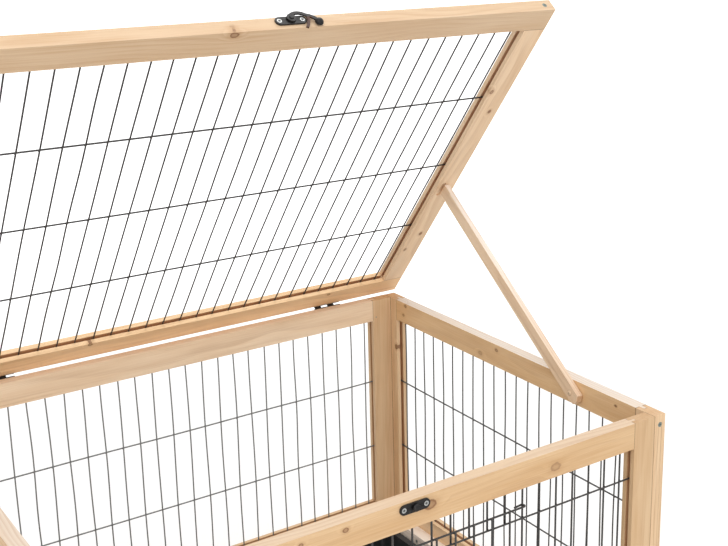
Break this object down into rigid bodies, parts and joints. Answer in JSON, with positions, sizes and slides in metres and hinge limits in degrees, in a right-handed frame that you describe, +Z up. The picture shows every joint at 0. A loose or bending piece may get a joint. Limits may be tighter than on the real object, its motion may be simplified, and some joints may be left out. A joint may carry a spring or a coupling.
{
  "type": "guinea pig run",
  "caption": "Timber-framed indoor run with wire mesh walls, a hinged mesh lid held up by a prop strut, a wire door in the front and a lift-out tray.",
  "frame": {"origin": "on the floor, in the middle of the run's plan: the middle of the tray's underside, level with the undersides of the frames", "axes": "X along the run's length, Y from the front with the doorway to the back with the hinges, Z up"},
  "size_m": [0.748, 0.6206, 0.9031],
  "materials": {
    "timber": "planed, unpainted softwood with fine grain and small knots",
    "mesh_wire": "dark coated welded wire, satin",
    "black_hardware": "black coated pressed steel, slightly rubbed",
    "screw_steel": "zinc plated",
    "tray_plastic": "matt black moulded plastic"
  },
  "bodies": {
    "run": {"front_top_rail": "timber", "front_bottom_rail": "timber", "front_left_stile": "timber", "front_right_stile": "timber", "front_mesh": "mesh_wire", "back_top_rail": "timber", "back_bottom_rail": "timber", "back_left_stile": "timber", "back_right_stile": "timber", "back_mesh": "mesh_wire", "left_top_rail": "timber", "left_bottom_rail": "timber", "left_front_stile": "timber", "left_back_stile": "timber", "left_mesh": "mesh_wire", "right_top_rail": "timber", "right_bottom_rail": "timber", "right_front_stile": "timber", "right_back_stile": "timber", "right_mesh": "mesh_wire", "hinge_left_rail_leaf": "black_hardware", "hinge_left_pin": "black_hardware", "hinge_right_rail_leaf": "black_hardware", "hinge_right_pin": "black_hardware", "prop_screw": "screw_steel", "keeper_plate": "black_hardware", "keeper_stud": "black_hardware", "left_batten": "timber", "right_batten": "timber", "front_frame_screws": "screw_steel", "back_frame_screws": "screw_steel", "left_frame_screws": "screw_steel", "right_frame_screws": "screw_steel", "left_corner_screws": "screw_steel", "right_corner_screws": "screw_steel", "hinge_rail_screws": "screw_steel", "keeper_screws": "screw_steel", "left_batten_screws": "screw_steel", "right_batten_screws": "screw_steel", "back_nails": "screw_steel"},
    "lid": {"lid_front_rail": "timber", "lid_back_rail": "timber", "lid_left_stile": "timber", "lid_right_stile": "timber", "lid_mesh": "mesh_wire", "lid_frame_screws": "screw_steel", "hinge_left_lid_leaf": "black_hardware", "hinge_right_lid_leaf": "black_hardware", "latch_plate": "black_hardware", "latch_rivet": "black_hardware", "latch_screws": "screw_steel", "hinge_lid_screws": "screw_steel"},
    "latch_hook": {"latch_hook": "black_hardware"},
    "prop_strut": {"prop_strut": "timber"},
    "wire_door": {"wire_door": "mesh_wire", "door_top_wire": "mesh_wire", "door_bottom_wire": "mesh_wire"},
    "tray": {"tray": "tray_plastic"}
  },
  "joints": [
    {"name": "lid_hinge", "type": "hinge", "parent": "run", "child": "lid", "pos_m": [0, 0.3014, 0.4168], "axis": [-1, 0, 0], "range_deg": [0, 59]},
    {"name": "strut_pivot", "type": "hinge", "parent": "run", "child": "prop_strut", "pos_m": [0.34595, -0.1554, 0.40523], "axis": [-0.9987, 0, 0.0506], "range_deg": [0, 35.9]},
    {"name": "hook_pivot", "type": "hinge", "parent": "lid", "child": "latch_hook", "pos_m": [0.0047, -0.06788, 0.89433], "axis": [0, -0.6347, 0.7727], "range_deg": [-56, 20]},
    {"name": "door_hinge", "type": "hinge", "parent": "run", "child": "wire_door", "pos_m": [0.1544, -0.28825, 0.231], "axis": [0, 0, 1], "range_deg": [0, 150]},
    {"name": "tray_lift", "type": "slide", "parent": "run", "child": "tray", "axis": [0, 0, 1], "range_m": [0, 0.4]}
  ]
}
